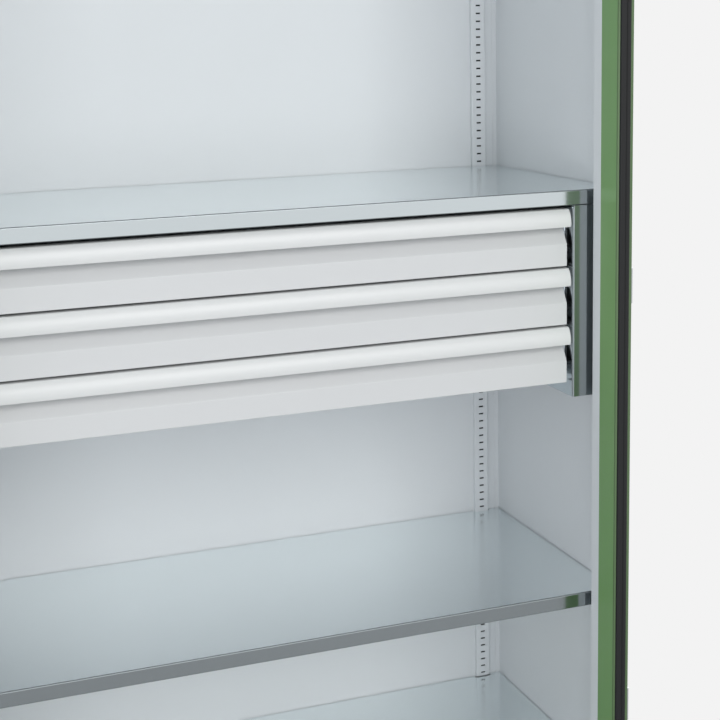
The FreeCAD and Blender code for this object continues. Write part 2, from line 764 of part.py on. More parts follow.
def unit_side(name, side):
    """A plate with a mirror-bright front flange, a rear flange and a hanging flange on top."""
    plate = (UNIT_BOTTOM, f"{UNIT_TOP} - {LINE_GAP}")
    far = f"({UNIT_X} + unit_flange)"
    bent = profile(
        f"{name}_bent",
        "XY_Plane",
        [
            (f"{side} * {UNIT_X}", depth(UNIT_FRONT)),
            (f"{side} * {far}", depth(UNIT_FRONT)),
            (f"{side} * {far}", depth(f"{UNIT_FRONT} + 5 * sheet")),
            (f"{side} * ({far} - sheet)", depth(f"{UNIT_FRONT} + 5 * sheet")),
            (f"{side} * ({far} - sheet)", depth(f"{UNIT_FRONT} + sheet")),
            (f"{side} * ({UNIT_X} + sheet)", depth(f"{UNIT_FRONT} + sheet")),
            (f"{side} * ({UNIT_X} + sheet)", depth(UNIT_BACK)),
            (f"{side} * {UNIT_X}", depth(UNIT_BACK)),
        ],
        plate,
        rounds=[(0, "unit_bend"), (5, "unit_bend - sheet"), (1, "sheet * 0.9")],
    )
    relief = bar(
        f"{name}_relief",
        "y",
        (f"{side} * {UNIT_X}", "0", f"{plate[1]} - relief_radius"),
        "relief_radius",
        over(deep(UNIT_FRONT, f"{UNIT_FRONT} + unit_bend")),
    )
    hanger = block(
        f"{name}_hanger",
        outward(side, UNIT_X, f"{UNIT_X} + hanger_width"),
        deep(f"{UNIT_FRONT} + 4 * sheet", UNIT_BACK),
        (f"{UNIT_TOP} - sheet", UNIT_TOP),
    )
    rear = block(
        f"{name}_rear",
        outward(side, UNIT_X, f"{UNIT_X} + hanger_width / 2"),
        deep(f"{UNIT_BACK} - sheet", UNIT_BACK),
        (UNIT_BOTTOM, UNIT_TOP),
    )
    holes = [
        bar(
            f"{name}_hole_{spot}",
            "z",
            hang_point(side, place),
            "screw_radius + screw_play",
            over((f"{UNIT_TOP} - sheet", UNIT_TOP)),
        )
        for spot, place in enumerate(HANG_PLACES)
    ]
    plate_body = joined(f"{name}_plate", [cut(f"{name}_notched", bent, [relief]), hanger, rear])
    return cut(name, plate_body, holes)


for where, side in SIDES.items():
    node(f"unit_side_{where}", unit_side(f"unit_plate_{where}", side))

TIE_LOW = f"({UNIT_BOTTOM} + tie_rise)"
node(
    "unit_rear_tie",
    joined(
        "rear_tie",
        [
            block(
                "tie_web",
                both_ways(UNIT_X),
                deep(f"{UNIT_BACK} - sheet", UNIT_BACK),
                (TIE_LOW, f"{TIE_LOW} + tie_height"),
            ),
            block(
                "tie_foot",
                both_ways(UNIT_X),
                deep(f"{UNIT_BACK} - tie_lip", UNIT_BACK),
                (TIE_LOW, f"{TIE_LOW} + sheet"),
            ),
        ],
    ),
)


def unit_screw(name, side, place):
    """A screw up through the hanging flange, with its head below."""
    middle, under = hang_point(side, place), f"({UNIT_TOP} - sheet)"
    head = bar(f"{name}_head", "z", middle, "screw_radius * 1.8", (f"{under} - screw_radius", under))
    shank = bar(f"{name}_shank", "z", middle, "screw_radius", (under, UNIT_TOP))
    return joined(name, [head, shank])


node(
    "unit_screws",
    group(
        "hanging_screws",
        [
            unit_screw(f"screw_{where}_{spot}", side, place)
            for where, side in SIDES.items()
            for spot, place in enumerate(HANG_PLACES)
        ],
    ),
)

# Drawers: a tray on telescopic rails, a folded front and an overhanging grip strip.


def channel(name, side, web, lips, half, centre):
    """A rail section on its side: a web and two lips, at distances in from the side plate."""
    web_at = outward(side, f"{UNIT_X} - ({web}) - rail_sheet", f"{UNIT_X} - ({web})")
    lips_at = outward(side, f"{UNIT_X} - ({lips[1]})", f"{UNIT_X} - ({lips[0]})")
    low, high = around(centre, half)
    run = deep(*RAIL_RUN)
    return joined(
        name,
        [
            block(f"{name}_web", web_at, run, (low, high)),
            block(f"{name}_top", lips_at, run, (f"{high} - rail_sheet", high)),
            block(f"{name}_foot", lips_at, run, (low, f"{low} + rail_sheet")),
        ],
    )


# Each rail of a set: how far its web and its lips are from the side plate, and half its height.
RAIL_KINDS = {
    "fixed": ("0", ("0", "rail_space * 0.5"), "rail_height / 2"),
    "middle": ("2 * rail_sheet", ("2 * rail_sheet", "rail_space * 0.72"), "rail_height / 2 - rail_step"),
    "runner": (
        "rail_space - rail_sheet",
        ("rail_space * 0.4", "rail_space"),
        "rail_height / 2 - 2 * rail_step - rail_sheet",
    ),
}
RAIL_RUN = ("shelf_setback + front_tuck + rail_front_gap", f"{UNIT_BACK} - rail_rear_gap")
FRONT_X = f"({UNIT_X} - drawer_side_gap)"
TRAY_NEAR = "(shelf_setback + front_tuck + front_sheet)"
TRAY_FAR = f"({UNIT_BACK} - tray_rear_gap)"
LIP = "shelf_setback"


def drawer_front(name, top):
    """The folded front below the grip: tucked in, sloping out, then upright."""
    face = f"({LIP} + front_recess)"
    tuck = f"({LIP} + front_tuck)"
    bend = f"({top} - grip_height - front_slope)"
    foot = f"({top} - drawer_pitch + drawer_gap)"
    outline = [
        (depth(tuck), f"{top} - grip_wall"),
        (depth(tuck), f"{top} - grip_height"),
        (depth(face), bend),
        (depth(face), foot),
        (depth(f"{tuck} + front_sheet"), foot),
        (depth(f"{tuck} + front_sheet"), f"{foot} + front_sheet"),
        (depth(f"{face} + front_sheet"), f"{foot} + front_sheet"),
        (depth(f"{face} + front_sheet"), f"{bend} + front_sheet * 0.28"),
        (depth(f"{tuck} + front_sheet"), f"{top} - grip_height + front_sheet * 0.28"),
        (depth(f"{tuck} + front_sheet"), f"{top} - grip_wall"),
    ]
    rounds = [(2, "front_sheet * 3"), (3, "front_sheet * 0.9")]
    return profile(name, "YZ_Plane", outline, both_ways(FRONT_X), rounds)


# The round of a grip takes up four tenths of its height on each side of the middle.
GRIP_ROUND = "(0.4 * grip_height ^ 2 / grip_lean)"


def grip_strip(name, top):
    """The rounded strip along the top of a drawer, whose lip the fingers pull."""
    back = f"({LIP} + grip_depth)"
    nose = f"({LIP} + grip_lean)"
    belly = f"({top} - grip_height / 2)"
    outline = [
        (depth(back), top),
        (depth(nose), top),
        (depth(LIP), belly),
        (depth(LIP), f"{top} - grip_height"),
        (depth(f"{LIP} + grip_wall"), f"{top} - grip_height"),
        (depth(f"{LIP} + grip_wall"), f"{belly} - grip_wall * 0.24"),
        (depth(f"{nose} + grip_wall * 0.6"), f"{top} - grip_wall"),
        (depth(back), f"{top} - grip_wall"),
    ]
    rounds = [
        (2, GRIP_ROUND),
        (5, f"{GRIP_ROUND} - grip_wall"),
        (1, "grip_wall * 0.8"),
        (3, "grip_wall * 0.4"),
    ]
    return profile(name, "YZ_Plane", outline, both_ways(FRONT_X), rounds)


def tray(name, top):
    """An open box of thin sheet."""
    low, rim = f"{top} - tray_foot", f"{top} - tray_drop"
    outer = block(f"{name}_outer", both_ways(TRAY_X), deep(TRAY_NEAR, TRAY_FAR), (low, rim))
    inner = block(
        f"{name}_inner",
        both_ways(f"{TRAY_X} - tray_sheet"),
        deep(f"{TRAY_NEAR} + tray_sheet", f"{TRAY_FAR} - tray_sheet"),
        (f"{low} + tray_sheet", f"{rim} + 1"),
    )
    return cut(name, outer, [inner])


fixed_rails = []
for number in range(1, SIZES["drawer_count"][0] + 1):
    title = f"drawer_{number}"
    top = f"({UNIT_TOP} - drawer_top_gap - drawer_pitch * {number - 1})"
    rails = {
        kind: [
            channel(f"{title}_{kind}_{where}", side, *section, f"({top} - rail_drop)")
            for where, side in SIDES.items()
        ]
        for kind, section in RAIL_KINDS.items()
    }
    fixed_rails += rails["fixed"]
    node(f"{title}_tray", tray(f"{title}_box", top))
    node(f"{title}_front", drawer_front(f"{title}_face", top))
    node(f"{title}_grip", grip_strip(f"{title}_strip", top))
    node(f"{title}_runners", group(f"{title}_runner_pair", rails["runner"]))
    node(f"{title}_middle_rails", group(f"{title}_middle_pair", rails["middle"]))
node("fixed_rails", group("fixed_rail_set", fixed_rails))

# Doors, folded right back beside the carcass: leaf, stiffener and two-pin hinges.

LEAF_NEAR = "(open_pin_depth - leaf_edge)"
LEAF_SKIN = f"({HALF} + wall_gap)"
LEAF_RIM = f"({LEAF_SKIN} + leaf_thickness)"
LEAF_ENDS = ("plinth_height + leaf_end_gap", "cabinet_height - leaf_end_gap")
LEAF_LOW, LEAF_HIGH = LEAF_ENDS
HINGE_HEIGHTS = {
    "low": f"({LEAF_LOW} + hinge_margin)",
    "middle": f"(({LEAF_LOW} + {LEAF_HIGH}) / 2)",
    "high": f"({LEAF_HIGH} - hinge_margin)",
}


def leaf(name, side, holes):
    """A door leaf: a pan whose rim is turned in all round."""
    outer = block(
        f"{name}_outer",
        outward(side, LEAF_SKIN, LEAF_RIM),
        deep(LEAF_NEAR, LEAF_FAR),
        LEAF_ENDS,
    )
    hollow = block(
        f"{name}_hollow",
        outward(side, f"{LEAF_SKIN} + leaf_sheet", f"{LEAF_RIM} - leaf_sheet"),
        deep(f"{LEAF_NEAR} + leaf_sheet", f"{LEAF_FAR} - leaf_sheet"),
        (f"{LEAF_LOW} + leaf_sheet", f"{LEAF_HIGH} - leaf_sheet"),
    )
    window = block(
        f"{name}_window",
        outward(side, f"{LEAF_RIM} - 2 * leaf_sheet", f"{LEAF_RIM} + 1"),
        deep(f"{LEAF_NEAR} + leaf_lip", f"{LEAF_FAR} - lock_lip"),
        (f"{LEAF_LOW} + cross_lip", f"{LEAF_HIGH} - cross_lip"),
    )
    return cut(name, outer, [hollow, window, *holes])


def stiffener(name, side):
    """A hat section down the middle of a leaf, open towards the skin."""
    middle = f"({LEAF_NEAR} + {LEAF_FAR}) / 2"
    ends = (f"{LEAF_LOW} + cross_lip + leaf_sheet", f"{LEAF_HIGH} - cross_lip - leaf_sheet")
    crown = f"({LEAF_RIM} - leaf_sheet)"
    skin = f"({LEAF_SKIN} + leaf_sheet)"
    web = deep(*around(middle, "rib_width / 2"))
    feet = deep(*around(middle, "rib_width * 0.7"))
    hat = block(f"{name}_hat", outward(side, skin, crown), web, ends)
    brim = block(f"{name}_brim", outward(side, skin, f"{skin} + rib_wall"), feet, ends)
    inside = block(
        f"{name}_inside",
        outward(side, f"{skin} - 1", f"{crown} - rib_wall"),
        deep(*around(middle, "rib_width / 2 - rib_wall")),
        over(ends),
    )
    return cut(name, joined(f"{name}_bent", [hat, brim]), [inside])


def pin_hole(name, middle, height):
    return bar(name, "z", middle, "pin_radius + pin_play", over(around(height, "hinge_half")))


def hinge_side(name, side, middle, face, pin_x, pin_depth, along, height):
    """The wall or leaf side of a hinge: a plate, and two lugs and barrels with the arm between."""
    below = (f"({height}) - hinge_half", f"({height}) - arm_half - hinge_play")
    above = (f"({height}) + arm_half + hinge_play", f"({height}) + hinge_half")
    pieces = [
        block(
            f"{name}_plate",
            outward(side, face, f"{face} + hinge_plate"),
            deep(*along),
            around(height, "hinge_half"),
        )
    ]
    for end, span in (("lower", below), ("upper", above)):
        lug_depth = deep(*around(pin_depth, "barrel_radius * 0.8"))
        pieces.append(block(f"{name}_lug_{end}", outward(side, face, pin_x), lug_depth, span))
        pieces.append(bar(f"{name}_barrel_{end}", "z", middle, "barrel_radius", span))
    return cut(name, joined(f"{name}_whole", pieces), [pin_hole(f"{name}_hole", middle, height)])


ARM_THICKNESS = "(barrel_radius * 0.48)"


def pin_line(side, x, pin_depth):
    """The line of a hinge pin; its height is left to the piece."""
    return f"{side} * {x}", depth(pin_depth), "0"


def hinge_arm(name, side, height):
    """A link between the wall pin and the leaf pin."""
    pins = {
        "wall": pin_line(side, ARM_PIN_X, ARM_PIN_DEPTH),
        "leaf": pin_line(side, OPEN_PIN_X, "open_pin_depth"),
    }
    reach = around(height, "arm_half")
    (wall_x, wall_y, _), (leaf_x, leaf_y, _) = pins.values()
    link = profile(
        f"{name}_link",
        "XY_Plane",
        [
            (f"{wall_x} - {ARM_THICKNESS}", wall_y),
            (f"{wall_x} + {ARM_THICKNESS}", wall_y),
            (f"{leaf_x} + {ARM_THICKNESS}", leaf_y),
            (f"{leaf_x} - {ARM_THICKNESS}", leaf_y),
        ],
        reach,
    )
    ends = [bar(f"{name}_barrel_{end}", "z", pin, "barrel_radius", reach) for end, pin in pins.items()]
    holes = [pin_hole(f"{name}_hole_{end}", pin, height) for end, pin in pins.items()]
    return cut(name, joined(f"{name}_solid", [link, *ends]), holes)


SPINDLE_DEPTH = f"({LEAF_FAR} - handle_inset)"
SPINDLE = ("0", depth(SPINDLE_DEPTH), "handle_height")

brackets, wall_pins = [], []
for where, side in SIDES.items():
    wall_middle = pin_line(side, ARM_PIN_X, ARM_PIN_DEPTH)
    leaf_middle = pin_line(side, OPEN_PIN_X, "open_pin_depth")
    bracket_run = (f"{ARM_PIN_DEPTH} - bracket_ahead", f"{ARM_PIN_DEPTH} + bracket_behind")
    plate_run = (f"{LEAF_NEAR} + plate_margin", f"{LEAF_NEAR} + plate_margin + plate_width")
    arms, lugs, leaf_pins = [], [], []
    for level, height in HINGE_HEIGHTS.items():
        tag = f"{where}_{level}"
        pin_span = around(height, "hinge_half")
        wall_half = (side, wall_middle, HALF, ARM_PIN_X, ARM_PIN_DEPTH, bracket_run, height)
        leaf_half = (side, leaf_middle, LEAF_RIM, OPEN_PIN_X, "open_pin_depth", plate_run, height)
        brackets.append(hinge_side(f"{tag}_bracket", *wall_half))
        lugs.append(hinge_side(f"{tag}_lug", *leaf_half))
        arms.append(hinge_arm(f"{tag}_arm", side, height))
        wall_pins.append(bar(f"{tag}_wall_pin", "z", wall_middle, "pin_radius", pin_span))
        leaf_pins.append(bar(f"{tag}_leaf_pin", "z", leaf_middle, "pin_radius", pin_span))
    lock_hole = bar(
        f"{where}_lock_hole",
        "x",
        SPINDLE,
        "spindle_radius + spindle_play",
        over((LEAF_SKIN, LEAF_RIM)),
    )
    node(f"{where}_door_leaf", leaf(f"{where}_leaf", side, [lock_hole]))
    node(f"{where}_door_stiffener", stiffener(f"{where}_rib", side))
    node(f"{where}_hinge_arms", group(f"{where}_arms", arms))
    node(f"{where}_leaf_knuckles", group(f"{where}_lugs", lugs))
    node(f"{where}_leaf_pins", group(f"{where}_pins", leaf_pins))
node("wall_brackets", group("bracket_set", brackets))
node("wall_pins", group("wall_pin_set", wall_pins))

# The strip that covers the meeting gap stands on the left leaf and is stepped off the right one.
STRIP_BACK = f"(-{LEAF_RIM} - strip_thickness)"
STRIP_STEP_DEPTH = f"({LEAF_FAR} - leaf_sheet)"
node(
    "closing_strip",
    profile(
        "strip",
        "XY_Plane",
        [
            (f"-{LEAF_RIM}", depth(f"{LEAF_FAR} + strip_overlap - strip_width")),
            (f"-{LEAF_RIM}", depth(STRIP_STEP_DEPTH)),
            (f"-{LEAF_RIM} - strip_step", depth(f"{STRIP_STEP_DEPTH} + strip_step")),
            (f"-{LEAF_RIM} - strip_step", depth(f"{LEAF_FAR} + strip_overlap")),
            (f"{STRIP_BACK} - strip_step", depth(f"{LEAF_FAR} + strip_overlap")),
            (f"{STRIP_BACK} - strip_step", depth(f"{STRIP_STEP_DEPTH} - strip_step")),
            (STRIP_BACK, depth(f"{STRIP_STEP_DEPTH} - 2 * strip_step")),
            (STRIP_BACK, depth(f"{LEAF_FAR} + strip_overlap - strip_width")),
        ],
        (f"{LEAF_LOW} + 2 * cross_lip", f"{LEAF_HIGH} - 2 * cross_lip"),
    ),
)

# Lock of the right-hand door: lever, spindle with cam, and two rods in guides.

LEVER_X = f"({LEAF_SKIN} - handle_reach)"
ROD_LINE = (f"({OPEN_PIN_X} - 1)", depth(SPINDLE_DEPTH), "0")
ROSE_FACE = f"({LEAF_SKIN} - rose_thickness)"
NECK_END = f"({ROSE_FACE} - spindle_play)"

rose_body = block(
    "rose_body",
    (ROSE_FACE, LEAF_SKIN),
    deep(*around(SPINDLE_DEPTH, "lever_width * 0.9")),
    around("handle_height - lever_length * 0.3", "lever_length * 0.75"),
)
rose_hole = bar("rose_hole", "x", SPINDLE, "spindle_radius + spindle_play", over((ROSE_FACE, LEAF_SKIN)))
node("handle_rose", cut("rose", rose_body, [rose_hole]))

lever_bar = block(
    "lever_bar",
    (f"{LEVER_X} - lever_thickness", LEVER_X),
    deep(*around(SPINDLE_DEPTH, "lever_width / 2")),
    ("handle_height - lever_length", "handle_height + lever_width / 2"),
)
lever_soft = rounded("lever_soft", lever_bar, "lever_round", lambda edge: True)
lever_neck = bar("lever_neck", "x", SPINDLE, "spindle_radius * 1.5", (LEVER_X, NECK_END))
node("handle_lever", joined("lever", [lever_soft, lever_neck]))

CAM_FACES = (f"{LEAF_RIM} + cam_gap", f"{LEAF_RIM} + cam_gap + cam_thickness")
SHAFT_RUN = (NECK_END, f"{CAM_FACES[1]} + cam_gap")
spindle_shaft = bar("spindle_shaft", "x", SPINDLE, "spindle_radius", SHAFT_RUN)
spindle_cam = bar("spindle_cam", "x", SPINDLE, "cam_radius", CAM_FACES)
node("handle_spindle", joined("spindle", [spindle_shaft, spindle_cam]))

ROD_START = "(spindle_radius * 1.5)"
RODS = {
    "upper": (f"handle_height + {ROD_START}", f"{FRAME_TOP} - rod_stop"),
    "lower": (f"{FRAME_BOTTOM} + rod_stop", f"handle_height - {ROD_START}"),
}
for which, span in RODS.items():
    node(f"lock_rod_{which}", bar(f"rod_{which}", "z", ROD_LINE, "rod_radius", span))

GUIDE_HALF = "(2 * rod_radius)"


def rod_guide(name, height):
    """A block on the leaf's rim with a bore for a rod."""
    body = block(
        f"{name}_body",
        (LEAF_RIM, f"{OPEN_PIN_X} + barrel_radius - 0.5"),
        deep(*around(SPINDLE_DEPTH, "2.2 * rod_radius")),
        around(height, GUIDE_HALF),
    )
    hole = bar(f"{name}_hole", "z", ROD_LINE, "rod_radius + rod_play", over(around(height, GUIDE_HALF)))
    return cut(name, body, [hole])


GUIDE_HEIGHTS = {
    "lowest": f"{LEAF_LOW} + cross_lip * 2",
    "low": f"(handle_height + {LEAF_LOW}) / 2",
    "under": "handle_height - lever_length",
    "over": "handle_height + lever_length",
    "high": f"(handle_height + {LEAF_HIGH}) / 2",
    "highest": f"{LEAF_HIGH} - cross_lip * 2",
}
guides = [rod_guide(f"guide_{name}", height) for name, height in GUIDE_HEIGHTS.items()]
node("rod_guides", group("guides", guides))

# Every object has to be sound before anything is written.

doc.recompute()
faults = [o.Label for o in doc.Objects if {"Invalid", "Error"} & set(o.State)]
faults += [o.Label for o in nodes if o.Shape.isNull() or not o.Shape.isValid() or not o.Shape.Solids]
if faults:
    raise ValueError(f"these objects failed: {faults}")

os.makedirs("parts", exist_ok=True)
for piece in nodes:
    piece.Shape.exportStep(f"parts/{piece.Label}.step")
box = FreeCAD.BoundBox()
for piece in nodes:
    box.add(piece.Shape.BoundBox)
print(f"{len(nodes)} nodes, {sum(len(piece.Shape.Solids) for piece in nodes)} solids")
print(f"X {box.XMin:.2f} {box.XMax:.2f}  Y {box.YMin:.2f} {box.YMax:.2f}  Z {box.ZMin:.2f} {box.ZMax:.2f}")
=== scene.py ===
# %% [markdown]
# Storage cabinet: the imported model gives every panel, shelf, drawer and door in metres, in one
# frame. This script dresses it: it loads the frame, mixes the finishes, adds the small pieces
# that only the eye needs, and sets the camera and the studio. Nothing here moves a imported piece.

# %% Load the frame
import json
import math

import bmesh
import bpy
from mathutils import Matrix, Vector


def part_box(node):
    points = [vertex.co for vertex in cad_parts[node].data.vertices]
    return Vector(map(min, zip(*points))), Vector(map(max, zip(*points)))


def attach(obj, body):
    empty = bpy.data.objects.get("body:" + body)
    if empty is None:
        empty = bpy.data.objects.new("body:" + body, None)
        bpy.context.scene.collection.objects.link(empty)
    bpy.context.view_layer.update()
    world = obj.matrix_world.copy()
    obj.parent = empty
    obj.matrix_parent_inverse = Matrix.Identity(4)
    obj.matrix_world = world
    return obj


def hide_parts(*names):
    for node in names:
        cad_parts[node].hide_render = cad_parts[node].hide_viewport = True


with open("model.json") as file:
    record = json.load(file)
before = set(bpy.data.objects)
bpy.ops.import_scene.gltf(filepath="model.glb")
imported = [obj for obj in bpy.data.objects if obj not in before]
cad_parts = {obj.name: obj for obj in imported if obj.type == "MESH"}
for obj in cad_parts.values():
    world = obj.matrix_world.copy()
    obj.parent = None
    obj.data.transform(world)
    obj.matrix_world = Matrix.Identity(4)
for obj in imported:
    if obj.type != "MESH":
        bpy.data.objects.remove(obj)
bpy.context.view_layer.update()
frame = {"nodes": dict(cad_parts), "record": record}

# %% [markdown]
# Studio: the real picture is a clean catalogue shot, lit softly from the front with a white
# surround. A large pale floor carries the shadow. The box behind the cabinet only serves the
# views of its back and right side. The world could be a photographed sky, but a plain colour
# gives the same calm light, and Light Path lets the camera and the bright sheets see a white
# surround while the paint is lit at a lower, even level.

# %% World
scene = bpy.context.scene
scene.view_settings.view_transform = "Standard"


def linear(*srgb):
    """A colour picked on screen, 0 to 255, as the linear numbers a shader wants."""
    parts = [value / 255 for value in srgb]
    return tuple(p / 12.92 if p <= 0.04045 else ((p + 0.055) / 1.055) ** 2.4 for p in parts)


SURROUND = linear(243, 243, 243)
WORLD_COLOUR = linear(240, 243, 248)
WORLD_LIGHT = 0.38
MIRRORED_RAYS = ("Is Glossy Ray", "Is Transmission Ray")

world = bpy.data.worlds.new("studio_world")
scene.world = world
world.use_nodes = True
sky = world.node_tree
sky.nodes.clear()
lighting = sky.nodes.new("ShaderNodeBackground")
lighting.inputs["Color"].default_value = (*WORLD_COLOUR, 1)
lighting.inputs["Strength"].default_value = WORLD_LIGHT
backdrop = sky.nodes.new("ShaderNodeBackground")
backdrop.inputs["Color"].default_value = (*SURROUND, 1)
rays = sky.nodes.new("ShaderNodeLightPath")
choice = sky.nodes.new("ShaderNodeMixShader")
exit_node = sky.nodes.new("ShaderNodeOutputWorld")
seen = rays.outputs["Is Camera Ray"]
for other_ray in MIRRORED_RAYS:
    either = sky.nodes.new("ShaderNodeMath")
    either.operation = "MAXIMUM"
    sky.links.new(seen, either.inputs[0])
    sky.links.new(rays.outputs[other_ray], either.inputs[1])
    seen = either.outputs[0]
sky.links.new(seen, choice.inputs["Fac"])
sky.links.new(lighting.outputs[0], choice.inputs[1])
sky.links.new(backdrop.outputs[0], choice.inputs[2])
sky.links.new(choice.outputs[0], exit_node.inputs["Surface"])
print("world light", WORLD_LIGHT)

# %% Soft boxes
MIDDLE = (0.1, 0.0, 1.0)


def soft_box(name, place, size, power, colour):
    """A soft box of a width and a height, turned towards the middle of the cabinet."""
    data = bpy.data.lights.new(name, "AREA")
    data.shape = "RECTANGLE"
    data.size, data.size_y = size
    data.energy = power
    data.color = linear(*colour)
    made = bpy.data.objects.new(name, data)
    made.location = place
    made.rotation_euler = (Vector(MIDDLE) - Vector(place)).to_track_quat("-Z", "Y").to_euler()
    made.visible_camera = False
    scene.collection.objects.link(made)


soft_box("key", (0.9, -4.4, 3.0), (2.6, 2.4), 89, (255, 254, 252))
soft_box("left", (-2.0, -4.3, 0.9), (2.0, 1.6), 44, (252, 253, 255))
soft_box("side", (-4.3, -2.2, 1.1), (2.0, 1.8), 37, (252, 253, 255))
soft_box("fill", (1.4, -5.0, 0.95), (4.0, 2.2), 28, (250, 251, 252))
soft_box("top", (-0.6, -0.4, 4.6), (2.4, 2.4), 40, (250, 252, 255))
soft_box("rear", (3.3, 3.7, 2.2), (5.0, 3.8), 118, (250, 252, 255))

# %% [markdown]
# Camera: the photograph was taken from a little left of the cabinet's middle and looks down to
# the right into it. The place, the turn and the lens come from lines of the shelves, drawers and
# door frame that were measured in the photograph and solved by least squares. A small shift keeps
# the uprights nearly vertical, as an architect's lens would.

# %% Camera
CAMERA_PLACE = (-0.6349, -2.3859, 1.4634)
YAW, PITCH, ROLL = (math.radians(angle) for angle in (20.07, 9.675, -1.272))
LENS = 72.19
SHIFT = -0.12
FAR_LIMIT = 100

forward = Vector(
    (math.sin(YAW) * math.cos(PITCH), math.cos(YAW) * math.cos(PITCH), -math.sin(PITCH))
)
sideways = Vector((math.cos(YAW), -math.sin(YAW), 0))
above = sideways.cross(forward)
right_hand = sideways * math.cos(ROLL) + above * math.sin(ROLL)
upward = above * math.cos(ROLL) - sideways * math.sin(ROLL)

camera_data = bpy.data.cameras.new("camera")
camera_data.lens = LENS
camera_data.shift_y = SHIFT
camera_data.clip_end = FAR_LIMIT
camera = bpy.data.objects.new("camera", camera_data)
turn = Matrix((right_hand, upward, -forward)).transposed().to_4x4()
camera.matrix_world = Matrix.Translation(CAMERA_PLACE) @ turn
scene.collection.objects.link(camera)
scene.camera = camera
print("camera looks along", [round(part, 3) for part in forward])

# %% [markdown]
# Shader maths: patterns are easier to read as arithmetic than as rows of nodes. One small class
# wraps a socket and turns +, -, * and so on into Math nodes, and a second one holds a material and
# adds any other node from its type, its settings and the values of its sockets.

# %% A socket that can be reckoned with
class Grey:
    """A single number that varies over a surface."""

    def __init__(self, finish, socket):
        self.finish = finish
        self.socket = socket

    def reckon(self, operation, *others):
        values = dict(enumerate((self, *others)))
        return self.finish.add("ShaderNodeMath", {"operation": operation}, values)

    def __add__(self, other):
        return self.reckon("ADD", other)

    def __sub__(self, other):
        return self.reckon("SUBTRACT", other)

    def __mul__(self, other):
        return self.reckon("MULTIPLY", other)

    def __truediv__(self, other):
        return self.reckon("DIVIDE", other)

    def __pow__(self, other):
        return self.reckon("POWER", other)

    def __rsub__(self, other):
        return self.finish.add("ShaderNodeMath", {"operation": "SUBTRACT"}, {0: other, 1: self})

    __radd__ = __add__
    __rmul__ = __mul__

    def clamped(self):
        return self.reckon("MAXIMUM", 0.0).reckon("MINIMUM", 1.0)


# %% A finish: one material and its nodes
# A Mix node has a pair of sockets for each kind of value. These are the numbers of its colours.
MIX_COLOURS = (6, 7)
MIX_RESULT = 2


class Finish:
    """A Principled material whose patterns read Object coordinates, in metres."""

    def __init__(self, name, colour, roughness, metallic=0.0):
        self.material = bpy.data.materials.new(name)
        self.material.use_nodes = True
        self.tree = self.material.node_tree
        self.shader = self.tree.nodes["Principled BSDF"]
        look = {"Base Color": (*colour, 1), "Roughness": roughness, "Metallic": metallic}
        self.feed(self.shader, look)
        place = self.tree.nodes.new("ShaderNodeTexCoord")
        self.place = place.outputs["Object"]

    def feed(self, node, values):
        """Links or sets sockets of a node, each given by its name or its number."""
        for key, value in values.items():
            socket = node.inputs[key]
            if isinstance(value, Grey):
                self.tree.links.new(value.socket, socket)
            elif isinstance(value, bpy.types.NodeSocket):
                self.tree.links.new(value, socket)
            else:
                socket.default_value = value

    def add(self, kind, settings, values, output=0):
        """One output of a new node: a Grey where it is a single number, or else the socket."""
        node = self.tree.nodes.new(kind)
        for key, value in settings.items():
            setattr(node, key, value)
        self.feed(node, values)
        result = node.outputs[output]
        return Grey(self, result) if result.type == "VALUE" else result

    def noise(self, scale, detail, stretch=(1, 1, 1)):
        """A noise on Object coordinates that are multiplied along each axis."""
        where = self.add("ShaderNodeMapping", {}, {"Vector": self.place, "Scale": stretch})
        values = {"Vector": where, "Scale": scale, "Detail": detail}
        return self.add("ShaderNodeTexNoise", {}, values)

    def tinted(self, amount, first, second):
        """A mix of two colours, each plain numbers or a socket, by a number from 0 to 1."""
        values = {"Factor": amount}
        for key, colour in zip(MIX_COLOURS, (first, second)):
            values[key] = colour if isinstance(colour, bpy.types.NodeSocket) else (*colour, 1)
        return self.add("ShaderNodeMix", {"data_type": "RGBA"}, values, MIX_RESULT)

    def clouded(self, cloud, colour, loss):
        """A colour that loses a share of its light where the cloud is thin."""
        return self.tinted(cloud, tuple(part * (1 - loss) for part in colour), colour)

    def bumps(self, height, distance):
        normal = self.add("ShaderNodeBump", {}, {"Height": height, "Distance": distance})
        self.feed(self.shader, {"Normal": normal})


# %% [markdown]
# Powder coat: the carcass, drawers, frame and doors are sprayed and baked, which leaves a skin
# with a very fine orange peel and an even, slightly silky gloss. A noise of about a millimetre
# feeds the bump, and a much larger one shifts the colour a little, as dust and handling do.

# %% Coated steel finishes
DUST_SCALE = 2.2
DUST_LOSS = 0.05
DUST_DULLING = 0.06
PEEL_SCALE = 900.0


def powder_coat(name, colour, roughness, peel=0.00004, zones=()):
    """A sprayed finish. A zone is a box and the colour of a painted shade within it."""
    finish = Finish(name, colour, roughness)
    dust = finish.noise(DUST_SCALE, 3.0)
    coat = finish.clouded(dust, colour, DUST_LOSS)
    for box, zone_colour in zones:
        coat = finish.tinted(within(finish, *box), coat, zone_colour)
    grain = finish.noise(PEEL_SCALE, 1.0)
    gloss = dust * DUST_DULLING + (roughness - DUST_DULLING / 2)
    finish.feed(finish.shader, {"Base Color": coat, "Roughness": gloss.clamped()})
    finish.bumps(grain, peel)
    return finish.material


CARCASS_COLOUR = linear(218, 222, 225)
FRAME_COLOUR = linear(109, 151, 90)
carcass_paint = powder_coat("carcass_paint", CARCASS_COLOUR, 0.5)
tray_paint = powder_coat("tray_paint", linear(200, 205, 209), 0.5)
drawer_paint = powder_coat("drawer_paint", linear(201, 203, 204), 0.42)
grip_paint = powder_coat("grip_paint", linear(210, 212, 212), 0.34, peel=0.00002)
frame_paint = powder_coat("frame_paint", FRAME_COLOUR, 0.42)
print("coated finishes: 5")
